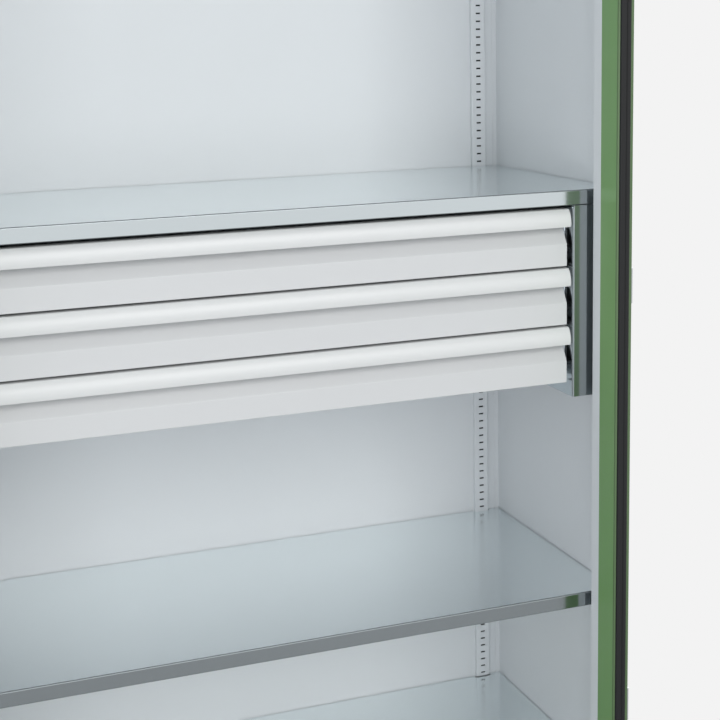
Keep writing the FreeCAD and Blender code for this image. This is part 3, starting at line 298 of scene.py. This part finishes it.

# %% [markdown]
# Slotted uprights: each one is a shallow channel that is welded to its wall, and its row of slots
# looks black against the pale coat, since little light reaches inside. The wall finish therefore
# has a painted shade, a near-black colour, within each channel. The zone is a box in Object
# coordinates, mirrored left to right, so it covers the inside of the channel and the wall there.
# The front of the door frame has such a zone too: a painted shade that makes the narrow strips of
# paint beside the seal a deeper green.

# %% Wall paint with painted shade inside the channels
# Painted shade: the near-black colour inside the channels and on the wall behind their slots.
CHANNEL_SHADE = linear(30, 32, 32)
ZONE_FADE = 0.0003
SHADE_INSET = 0.0011
WALL_SKIN = 0.0005


def within(finish, low, high):
    """1 within a box that counts on both sides of the middle, and 0 outside it."""
    inside = 1.0
    for axis, least, most in zip("XYZ", low, high):
        spot = finish.add("ShaderNodeSeparateXYZ", {}, {"Vector": finish.place}, axis)
        if axis == "X":
            spot = spot.reckon("ABSOLUTE")
        past = ((spot - least) / ZONE_FADE).clamped()
        inside = past * ((most - spot) / ZONE_FADE).clamped() * inside
    return inside


rear_low, rear_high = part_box("rear_upright_right")
side_low, side_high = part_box("front_upright_right")
rear_zone = (
    (rear_low.x + SHADE_INSET, rear_low.y + SHADE_INSET, rear_low.z),
    (rear_high.x - SHADE_INSET, rear_high.y + WALL_SKIN, rear_high.z),
)
side_zone = (
    (side_low.x + SHADE_INSET, side_low.y + SHADE_INSET, side_low.z),
    (side_high.x + WALL_SKIN, side_high.y - SHADE_INSET, side_high.z),
)
channels = ((rear_zone, CHANNEL_SHADE), (side_zone, CHANNEL_SHADE))
wall_paint = powder_coat("wall_paint", CARCASS_COLOUR, 0.5, zones=channels)
print("painted channel shade from x", round(rear_zone[0][0], 4), "to", round(rear_zone[1][0], 4))

# %% Frame paint with painted shade along the front of the tube
# Painted shade: the deeper green along the front of the tube, beside the seal.
SEAL_SHADE_GREEN = linear(78, 104, 66)
SEAL_SHADE_DEPTH = 0.0042
BEFORE_FRAME = 0.001
BESIDE_FRAME = 1
ABOVE_FRAME = 2
frame_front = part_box("frame_stile_right")[0].y
seal_shade_zone = (
    (0, frame_front - BEFORE_FRAME, 0),
    (BESIDE_FRAME, frame_front + SEAL_SHADE_DEPTH, ABOVE_FRAME),
)
tube_paint = powder_coat("tube_paint", FRAME_COLOUR, 0.42, zones=((seal_shade_zone, SEAL_SHADE_GREEN),))
print("darker green to y", round(frame_front + SEAL_SHADE_DEPTH, 4))

# %% [markdown]
# Bright sheet: the shelves and the drawer unit are galvanised and rolled, so they mirror the
# uprights near where they touch and blur them further off. That needs a metal with a roughness
# near a fifth, drawn out a little along the rolling direction, and a faint cloudiness. The front
# edges of the shelves and the folded flanges of the unit are smoother, and they carry a painted
# shade: a darker steel colour for the dark surroundings that these edges mirror. The bend behind
# each edge has a darker painted shade still, and is dull. So the colour and the roughness there
# are mixed by how far forward the surface lies.

# %% Bare and plated steel finishes
ROLLED_SCALE = 60.0
ROLLED_STRETCH = (0.05, 1.0, 1.0)
ROLLED_DEPTH = 0.000006
ROLLED_DULLING = 0.08
STAIN_SCALE = 5.0
STAIN_LOSS = 0.06
STAIN_DULLING = 0.05
BEND_DEPTH = 0.0022
EDGE_FADE = 0.0006
EDGE_GLOSS = 0.13
BEND_START = 0.00012
BEND_DULLNESS = 0.4
# Painted shade: the darker steel of the front edges and of the bends behind them.
SHADED_EDGE_STEEL = linear(152, 158, 160)
SHADED_BEND_STEEL = linear(126, 133, 136)


def bright_sheet(name, colour, roughness, front=None):
    """A metal finish, with a smoother edge in a painted shade where the y of its front is given.
    """
    finish = Finish(name, colour, roughness, metallic=1.0)
    rolled = finish.noise(ROLLED_SCALE, 3.0, ROLLED_STRETCH)
    stain = finish.noise(STAIN_SCALE, 2.0)
    face = finish.clouded(stain, colour, STAIN_LOSS)
    steady = roughness - (ROLLED_DULLING + STAIN_DULLING) / 2
    gloss = rolled * ROLLED_DULLING + stain * STAIN_DULLING + steady
    if front is not None:
        along = finish.add("ShaderNodeSeparateXYZ", {}, {"Vector": finish.place}, "Y")
        edge_shade_and_gloss = ((front + BEND_DEPTH + EDGE_FADE - along) / EDGE_FADE).clamped()
        bent = ((along - front) / BEND_START).clamped()
        face = finish.tinted(edge_shade_and_gloss, face, finish.tinted(bent, SHADED_EDGE_STEEL, SHADED_BEND_STEEL))
        gloss = gloss * (1 - edge_shade_and_gloss) + edge_shade_and_gloss * (bent * BEND_DULLNESS + EDGE_GLOSS)
    finish.feed(finish.shader, {"Base Color": face, "Roughness": gloss.clamped()})
    finish.bumps(rolled, ROLLED_DEPTH)
    return finish.material


shelf_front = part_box("upper_shelf")[0].y
flange_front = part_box("unit_side_right")[0].y
shelf_steel = bright_sheet("shelf_steel", linear(242, 248, 249), 0.2, shelf_front)
unit_steel = bright_sheet("unit_steel", linear(196, 205, 209), 0.2, flange_front)
zinc = bright_sheet("zinc", linear(196, 199, 202), 0.36)
lock_steel = bright_sheet("lock_steel", linear(150, 153, 156), 0.42)
print("steel finishes: 4")
print("shelf front at", round(shelf_front, 4), "flange at", round(flange_front, 4))

# %% [markdown]
# Rubber and plastic: the door seal is extruded rubber, nearly black with a dull skin, and the
# lever is moulded plastic with a fine spark-eroded grain. Both are a dark colour, a mid roughness
# and a fine bump, and the grain of the rubber is about twice as coarse.

# %% Rubber and plastic finishes
MOULD_DEPTH = 0.00003
MOULD_DULLING = 0.12


def moulded(name, colour, roughness, grain_scale, shine):
    """A dark finish with a fine grain."""
    finish = Finish(name, colour, roughness)
    grain = finish.noise(grain_scale, 2.0)
    gloss = grain * MOULD_DULLING + (roughness - MOULD_DULLING / 2)
    finish.feed(finish.shader, {"Specular IOR Level": shine, "Roughness": gloss.clamped()})
    finish.bumps(grain, MOULD_DEPTH)
    return finish.material


seal_rubber = moulded("seal_rubber", linear(28, 29, 30), 0.6, 700.0, 0.25)
black_plastic = moulded("black_plastic", linear(34, 35, 37), 0.45, 1500.0, 0.4)
print("moulded finishes: 2")

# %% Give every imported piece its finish
FINISHES = {
    "carcass_paint": carcass_paint,
    "tray_paint": tray_paint,
    "drawer_paint": drawer_paint,
    "grip_paint": grip_paint,
    "frame_paint": frame_paint,
    "bright_steel": shelf_steel,
    "zinc": zinc,
    "seal_rubber": seal_rubber,
    "black_plastic": black_plastic,
}
for part in frame["record"]["subparts"]:
    name = part["node"]
    finish = FINISHES[part["material_slot"]]
    if name.startswith("unit_"):
        finish = unit_steel
    if name.endswith(("_side_panel", "back_panel")) or "_upright_" in name:
        finish = wall_paint
    if name.startswith("frame_"):
        finish = tube_paint
    packed = frame["nodes"][name].data
    packed.materials.clear()
    packed.materials.append(finish)

# %% [markdown]
# Corner laps: in the back corners the back sheet laps the side walls and is spot-welded to them,
# so a thin line stands beside each corner. A dark stripe in the paint would be quicker, but a
# real lap catches light on its free edge and keeps a shadow under it from every side. Its section
# is drawn once as a small face and pushed up the height of the wall.

# %% How a finished piece joins the cabinet
SOFT_TURN = math.radians(35)


def corner_places(item):
    """Where the corners of an edge or a face lie, or a corner by itself."""
    corners = (item,) if isinstance(item, bmesh.types.BMVert) else item.verts
    return sorted(tuple(corner.co) for corner in corners)


def in_order(shape):
    """Sorts a shape by place, since operators don't leave it in the same order each run."""
    for elements in (shape.verts, shape.edges, shape.faces):
        for number, item in enumerate(sorted(elements, key=corner_places)):
            item.index = number
        elements.sort()


def placed(name, shape, body, material):
    """A finished piece from a bmesh, riding on a body and given a material.

    It is shaded smooth, and edges that turn more than SOFT_TURN are kept sharp.
    """
    bmesh.ops.recalc_face_normals(shape, faces=shape.faces)
    in_order(shape)
    for face in shape.faces:
        face.smooth = True
    for edge in shape.edges:
        edge.smooth = edge.calc_face_angle(math.pi) < SOFT_TURN
    open_edges = sum(not edge.is_manifold for edge in shape.edges)
    print(name, len(shape.faces), "faces,", open_edges, "open edges")
    data = bpy.data.meshes.new(name)
    shape.to_mesh(data)
    shape.free()
    made = bpy.data.objects.new(name, data)
    scene.collection.objects.link(made)
    made.data.materials.append(material)
    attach(made, body)
    return made


# %% Corner laps
LAP_WIDTH = 0.0085
LAP_RISE = 0.0011
LAP_SHADOW = 0.0005
wall_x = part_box("front_upright_right")[1].x
back_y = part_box("back_panel")[0].y
lap_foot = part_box("floor_panel")[1].z
lap_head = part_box("side_seals")[1].z
lap_section = (
    (wall_x, back_y),
    (wall_x, back_y - LAP_RISE),
    (wall_x - LAP_WIDTH, back_y - LAP_RISE),
    (wall_x - LAP_WIDTH, back_y - LAP_SHADOW),
    (wall_x - LAP_WIDTH / 3, back_y),
)

laps = bmesh.new()
for side in (-1, 1):
    outline = laps.faces.new([laps.verts.new((side * x, y, lap_foot)) for x, y in lap_section])
    grown = bmesh.ops.extrude_face_region(laps, geom=[outline])["geom"]
    head = [item for item in grown if isinstance(item, bmesh.types.BMVert)]
    bmesh.ops.translate(laps, verts=head, vec=(0, 0, lap_head - lap_foot))
placed("corner_laps", laps, "cabinet", wall_paint)

# %% [markdown]
# Grips: the strip along the top of each drawer is rolled to one even arc, so a soft highlight
# runs along its middle, and it reaches nearly to the side plates. The imported strip has a flatter
# outline. Here the outline starts as a short flat top, whose nose is spun down into the arc, and
# ends in a small foot. It is pushed along the drawer, and solidify gives it a wall.

# %% Rolled grips
GRIP_ARC = 0.030
ARC_TOP = math.radians(44)
ARC_FOOT = math.radians(-16)
ARC_STEPS = 20
GRIP_HALF = 0.5105
GRIP_WALL = 0.0024
CREST = 0.0008
NOSE_RUN = 0.0012
FOOT_RUN = 0.0026
FOOT_DROP = 0.0003
WELD = 0.00001


def rolled_grip(low, high):
    """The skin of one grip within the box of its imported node."""
    skin = bmesh.new()
    middle = Vector((-GRIP_HALF, low.y + GRIP_ARC, low.z + GRIP_ARC * math.sin(-ARC_FOOT) + CREST))
    start = middle + GRIP_ARC * Vector((0, -math.cos(ARC_TOP), math.sin(ARC_TOP)))
    first = skin.verts.new((start.x, high.y, high.z - CREST))
    bend = skin.verts.new((start.x, start.y + NOSE_RUN, high.z - CREST))
    skin.edges.new((first, bend))
    nose = skin.verts.new(start)
    skin.edges.new((bend, nose))
    bmesh.ops.spin(
        skin,
        geom=[nose],
        cent=middle,
        axis=(1, 0, 0),
        angle=ARC_TOP - ARC_FOOT,
        steps=ARC_STEPS,
        use_merge=False,
    )
    bmesh.ops.remove_doubles(skin, verts=skin.verts, dist=WELD)
    foot = min(skin.verts, key=lambda corner: corner.co.z)
    tail = skin.verts.new((start.x, foot.co.y + FOOT_RUN, foot.co.z - FOOT_DROP))
    skin.edges.new((foot, tail))
    grown = bmesh.ops.extrude_edge_only(skin, edges=list(skin.edges))["geom"]
    far = [item for item in grown if isinstance(item, bmesh.types.BMVert)]
    bmesh.ops.translate(skin, verts=far, vec=(2 * GRIP_HALF, 0, 0))
    bmesh.ops.recalc_face_normals(skin, faces=skin.faces)
    front = min(skin.faces, key=lambda face: face.calc_center_median().y)
    if front.normal.y > 0:
        bmesh.ops.reverse_faces(skin, faces=skin.faces)
    bmesh.ops.solidify(skin, geom=list(skin.faces), thickness=GRIP_WALL)
    return skin


for number in (1, 2, 3):
    grip_low, grip_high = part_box(f"drawer_{number}_grip")
    shape = rolled_grip(grip_low, grip_high)
    grip = placed(f"rolled_grip_{number}", shape, f"drawer_{number}", grip_paint)
    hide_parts(f"drawer_{number}_grip")
    reach = [round(min(corner.co[axis] for corner in grip.data.vertices), 4) for axis in range(3)]
    print("grip", number, "reaches to", reach, "packed", [round(value, 4) for value in grip_low])

# %% [markdown]
# Screws: the hinge plates are held by flat-headed screws, four to a plate on a door and two on the
# wall. A head is a short cone with its rim softened. Its top is inset and sunk for the driver.
# The heads stand barely proud, because a door closes to a millimetre from its frame.

# %% Discs with a softened rim
LOOKS_THERE = 0.99
RIM_SHARE = 0.4


def top_face(shape, toward):
    """The face that lies furthest one way and looks that way."""
    facing = [face for face in shape.faces if face.normal.dot(toward) > LOOKS_THERE]
    return max(facing, key=lambda face: face.calc_center_median().dot(toward))


def soften(shape, edges, offset, segments=2):
    """Rounds edges evenly."""
    bmesh.ops.bevel(
        shape,
        geom=edges,
        offset=offset,
        affect="EDGES",
        segments=segments,
        profile=0.5,
        material=-1,
    )
    shape.normal_update()


def standing_disc(radius, top_radius, rise, foot, toward, segments):
    """A disc with a softened rim that stands on a surface."""
    shape = bmesh.new()
    turned = toward.to_track_quat("Z", "Y").to_matrix().to_4x4()
    bmesh.ops.create_cone(
        shape,
        cap_ends=True,
        segments=segments,
        radius1=radius,
        radius2=top_radius,
        depth=rise,
        matrix=Matrix.Translation(foot + toward * rise / 2) @ turned,
    )
    shape.normal_update()
    soften(shape, list(top_face(shape, toward).edges), rise * RIM_SHARE)
    return shape


# %% Screw heads
HEAD_RADIUS = 0.0034
HEAD_RISE = 0.0006
HEAD_TAPER = 0.9
HEAD_SIDES = 24
DRIVER_SHARE = 0.4
DRIVER_DEPTH = 0.8


def poured(shape, target):
    """Moves a finished little shape into a larger one."""
    spare = bpy.data.meshes.new("spare")
    shape.to_mesh(spare)
    shape.free()
    target.from_mesh(spare)
    bpy.data.meshes.remove(spare)


def add_screw(target, foot, toward, radius=HEAD_RADIUS, rise=HEAD_RISE):
    """One screw head on a surface, sunk in the middle for the driver."""
    head = standing_disc(radius, radius * HEAD_TAPER, rise, Vector(foot), toward, HEAD_SIDES)
    crown = top_face(head, toward)
    bmesh.ops.inset_region(head, faces=[crown], thickness=radius * DRIVER_SHARE)
    bmesh.ops.translate(head, verts=crown.verts, vec=toward * -DRIVER_DEPTH * rise)
    poured(head, target)


# %% Hinge screws
SCREW_SPREAD = 0.0205
HINGE_HALF = 0.03
HINGE_PLATE = 0.003
OUTER_ROW = 0.0055
INNER_ROW = 0.0045
WALL_ROW = 0.008
knuckles_low, knuckles_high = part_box("right_leaf_knuckles")
hinge_heights = (
    knuckles_low.z + HINGE_HALF,
    (knuckles_low.z + knuckles_high.z) / 2,
    knuckles_high.z - HINGE_HALF,
)
leaf_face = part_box("right_door_leaf")[1].x + HINGE_PLATE
wall_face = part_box("right_side_panel")[1].x + HINGE_PLATE
leaf_rows = (knuckles_high.y - OUTER_ROW, knuckles_low.y + INNER_ROW)
wall_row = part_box("wall_brackets")[1].y - WALL_ROW

for side, where in ((-1, "left"), (1, "right")):
    toward = Vector((side, 0, 0))
    leaf_screws, wall_screws = bmesh.new(), bmesh.new()
    for height in hinge_heights:
        for level in (height - SCREW_SPREAD, height + SCREW_SPREAD):
            for row in leaf_rows:
                add_screw(leaf_screws, (side * leaf_face, row, level), toward)
            add_screw(wall_screws, (side * wall_face, wall_row, level), toward)
    placed(f"{where}_leaf_screws", leaf_screws, f"{where}_leaf", zinc)
    placed(f"{where}_wall_screws", wall_screws, "cabinet", zinc)

# %% [markdown]
# Lock: a round cylinder stands on the plate above the lever, with a key slot. The slot is cut by
# four planes through the top face only, and the small face between them is pushed in. Two small
# screws hold the plate.

# %% Lock cylinder
CYLINDER_RADIUS = 0.0075
CYLINDER_TAPER = 0.97
CYLINDER_RISE = 0.003
CYLINDER_ABOVE = 0.0235
CYLINDER_SIDES = 48
COLLAR_SHARE = 0.22
COLLAR_RISE = 0.0005
PLUG_GAP_SHARE = 0.04
PLUG_RISE = 0.0003
KEY_SLOT = (0.0007, 0.0031)
SLOT_EDGE = 0.00004
SLOT_DEPTH = 0.002
OUT = Vector((-1, 0, 0))

rose_low, rose_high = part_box("handle_rose")
rose_y = (rose_low.y + rose_high.y) / 2
spindle_low, spindle_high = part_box("handle_spindle")
spindle_z = (spindle_low.z + spindle_high.z) / 2
cylinder_foot = Vector((rose_low.x, rose_y, spindle_z + CYLINDER_ABOVE))

top_radius = CYLINDER_RADIUS * CYLINDER_TAPER
lock = standing_disc(
    CYLINDER_RADIUS, top_radius, CYLINDER_RISE, cylinder_foot, OUT, CYLINDER_SIDES
)
crown = top_face(lock, OUT)
bmesh.ops.inset_region(lock, faces=[crown], thickness=CYLINDER_RADIUS * COLLAR_SHARE)
bmesh.ops.translate(lock, verts=crown.verts, vec=-OUT * COLLAR_RISE)
bmesh.ops.inset_region(lock, faces=[crown], thickness=CYLINDER_RADIUS * PLUG_GAP_SHARE)
bmesh.ops.translate(lock, verts=crown.verts, vec=OUT * PLUG_RISE)
plug = [crown]
for way, reach in zip((Vector((0, 1, 0)), Vector((0, 0, 1))), KEY_SLOT):
    for sign in (-1, 1):
        cut_at = cylinder_foot + way * reach * sign
        edges = {edge for face in plug for edge in face.edges}
        split = bmesh.ops.bisect_plane(lock, geom=[*plug, *edges], plane_co=cut_at, plane_no=way)
        plug = [item for item in split["geom"] if isinstance(item, bmesh.types.BMFace)]


def off_centre(face):
    return (face.calc_center_median() - cylinder_foot).cross(OUT).length


slot_mouth = min(plug, key=off_centre)
bmesh.ops.inset_region(lock, faces=[slot_mouth], thickness=SLOT_EDGE)
bmesh.ops.translate(lock, verts=slot_mouth.verts, vec=-OUT * SLOT_DEPTH)
placed("lock_cylinder", lock, "right_leaf", lock_steel)

# %% Plate screws
FOOT_SCREW = 0.0085
HEAD_SCREW = 0.0035
PLATE_SCREW_RADIUS = 0.0022
PLATE_SCREW_RISE = 0.0007

plate_screws = bmesh.new()
for level in (rose_low.z + FOOT_SCREW, rose_high.z - HEAD_SCREW):
    foot = (rose_low.x, rose_y, level)
    add_screw(plate_screws, foot, OUT, PLATE_SCREW_RADIUS, PLATE_SCREW_RISE)
placed("plate_screws", plate_screws, "right_leaf", lock_steel)

# %% [markdown]
# Plinth corners: the plinth's rails are folded channels, and from the side one would look into
# their open ends. A small plate closes each end and laps the end rail, with two painted screws.
# Two corners of its tongue are rounded and its outer rim is softened, both with a bevel.

# %% Plinth corner plates
PLATE = 0.0012
TONGUE = 0.014
PLATE_PLAY = 0.0015
TONGUE_ROUND = 0.008
RIM_ROUND = 0.0003
SCREW_LEVELS = (0.22, 0.78)
SAME_PLACE = 0.00001
rails_low, rails_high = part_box("plinth_rails")
ends_low, ends_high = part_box("plinth_ends")


def block(middle, size):
    """A box of a size about its middle."""
    shape = bmesh.new()
    place = Matrix.Translation(middle) @ Matrix.Diagonal((*size, 1))
    bmesh.ops.create_cube(shape, size=1, matrix=place)
    return shape


def corner_plate(side, edge_y, tongue_y):
    """A plate on one end of a channel, from the rail's face to the tip of its tongue."""
    plate = block(
        (side * (rails_high.x + PLATE / 2), (edge_y + tongue_y) / 2, rails_high.z / 2),
        (PLATE, abs(edge_y - tongue_y), rails_high.z - 2 * PLATE_PLAY),
    )

    def is_tip(edge):
        one, other = (corner.co for corner in edge.verts)
        off = abs(one.y - tongue_y) + abs(other.y - tongue_y) + abs(one.z - other.z)
        return off < SAME_PLACE

    soften(plate, [edge for edge in plate.edges if is_tip(edge)], TONGUE_ROUND, 6)
    soften(plate, list(top_face(plate, Vector((side, 0, 0))).edges), RIM_ROUND)
    return plate


plinth_corners = bmesh.new()
for side in (-1, 1):
    for edge_y, end_y, inward in ((rails_low.y, ends_low.y, 1), (rails_high.y, ends_high.y, -1)):
        poured(corner_plate(side, edge_y, end_y + inward * TONGUE), plinth_corners)
        row = end_y + inward * TONGUE / 2
        for share in SCREW_LEVELS:
            foot = (side * (rails_high.x + PLATE), row, rails_high.z * share)
            add_screw(plinth_corners, foot, Vector((side, 0, 0)))
placed("plinth_corners", plinth_corners, "cabinet", carcass_paint)

# %% [markdown]
# Lever: the imported lever is a plain rounded bar. The real one is moulded, waisted where the
# fingers close round it and broad at the tip. The bar is cut into rings, every ring is drawn in
# by a sine of its place along the lever, and the edges are rounded with a bevel. A separate neck
# flares towards the plate. The piece stands for the imported node, which stays for collision,
# hidden.

# %% Lever
LEVER_THICKNESS = 0.009
LEVER_RINGS = 10
LONG_SHARE = 0.9
WAIST = 0.24
WAIST_RUN = 1.15
TIP_TURN = 0.0035
TURN_START = 0.25
LEVER_ROUND = 0.0034
SHARP_TURN = math.radians(40)
lever_low, lever_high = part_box("handle_lever")
bar_length = lever_high.z - lever_low.z

lever = block(
    (lever_low.x + LEVER_THICKNESS / 2, rose_y, (lever_low.z + lever_high.z) / 2),
    (LEVER_THICKNESS, lever_high.y - lever_low.y, bar_length),
)
lengthwise = [edge for edge in lever.edges if edge.calc_length() > bar_length * LONG_SHARE]
bmesh.ops.subdivide_edges(lever, edges=lengthwise, cuts=LEVER_RINGS, use_grid_fill=True)
for corner in lever.verts:
    reach = (lever_high.z - corner.co.z) / bar_length
    drawn = 1 - WAIST * math.sin(math.pi * min(1, reach * WAIST_RUN)) ** 2
    corner.co.y = rose_y + (corner.co.y - rose_y) * drawn
    corner.co.x += TIP_TURN * max(0.0, reach - TURN_START) ** 2
lever.normal_update()
sharp = [edge for edge in lever.edges if edge.calc_face_angle(0) > SHARP_TURN]
soften(lever, sharp, LEVER_ROUND, 4)

# %% Lever's neck
NECK_SINK = 0.7
NECK_RADII = (0.0078, 0.0089)
NECK_SIDES = 40
neck_start = lever_low.x + LEVER_THICKNESS * NECK_SINK
neck_run = lever_high.x - neck_start
neck_place = Matrix.Translation((neck_start + neck_run / 2, rose_y, spindle_z))

neck = bmesh.new()
bmesh.ops.create_cone(
    neck,
    cap_ends=True,
    segments=NECK_SIDES,
    radius1=NECK_RADII[0],
    radius2=NECK_RADII[1],
    depth=neck_run,
    matrix=neck_place @ Matrix.Rotation(math.pi / 2, 4, "Y"),
)
poured(neck, lever)
moulded_lever = placed("moulded_lever", lever, "handle", black_plastic)
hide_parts("handle_lever")

# %% [markdown]
# Floor: a plain pale floor that fades into the white surround, as a paper sweep does. Close to the
# cabinet it is a real, lit surface that takes the shadow. Further off, the eye and the bright
# metal see the surround's own white instead, so no horizon shows. The fade is a smooth step on
# the distance from the cabinet and from the space before it, where the doors and drawers move.
# Light Path leaves the light that the floor gives back alone.

# %% Floor
FLOOR_REACH = 40
NEAR_CABINET = ((0.0, 0.0), (1.0, 1.0), (0.55, 0.85))
BEFORE_CABINET = ((0.0, -1.25), (1.6, 0.95), (0.85, 1.35))

floor_shape = bmesh.new()
bmesh.ops.create_grid(floor_shape, x_segments=1, y_segments=1, size=FLOOR_REACH)
floor_data = bpy.data.meshes.new("floor")
floor_shape.to_mesh(floor_data)
floor_shape.free()
floor = bpy.data.objects.new("floor", floor_data)
scene.collection.objects.link(floor)

paper = Finish("studio_floor", linear(208, 209, 210), 0.8)
across = paper.add("ShaderNodeSeparateXYZ", {}, {"Vector": paper.place}, "X")
along = paper.add("ShaderNodeSeparateXYZ", {}, {"Vector": paper.place}, "Y")


def outside(centre, radii, steps):
    """0 within an oval on the floor and 1 well outside it."""
    side = (across - centre[0]) / radii[0]
    ahead = (along - centre[1]) / radii[1]
    part = (((side * side + ahead * ahead) ** 0.5 - steps[0]) / (steps[1] - steps[0])).clamped()
    return part * part * (3.0 - 2.0 * part)


fade = outside(*NEAR_CABINET) * outside(*BEFORE_CABINET)
seen_floor = paper.add("ShaderNodeLightPath", {}, {}, "Is Camera Ray")
for other_ray in MIRRORED_RAYS:
    either = paper.add("ShaderNodeLightPath", {}, {}, other_ray)
    seen_floor = seen_floor.reckon("MAXIMUM", either)
white = paper.add("ShaderNodeEmission", {}, {"Color": (*SURROUND, 1), "Strength": 1.0})
lit = paper.shader.outputs["BSDF"]
sweep = paper.add("ShaderNodeMixShader", {}, {"Fac": fade * seen_floor, 1: lit, 2: white})
paper.feed(paper.tree.nodes["Material Output"], {"Surface": sweep})
floor.data.materials.append(paper.material)
print("floor reaches", FLOOR_REACH, "m each way")
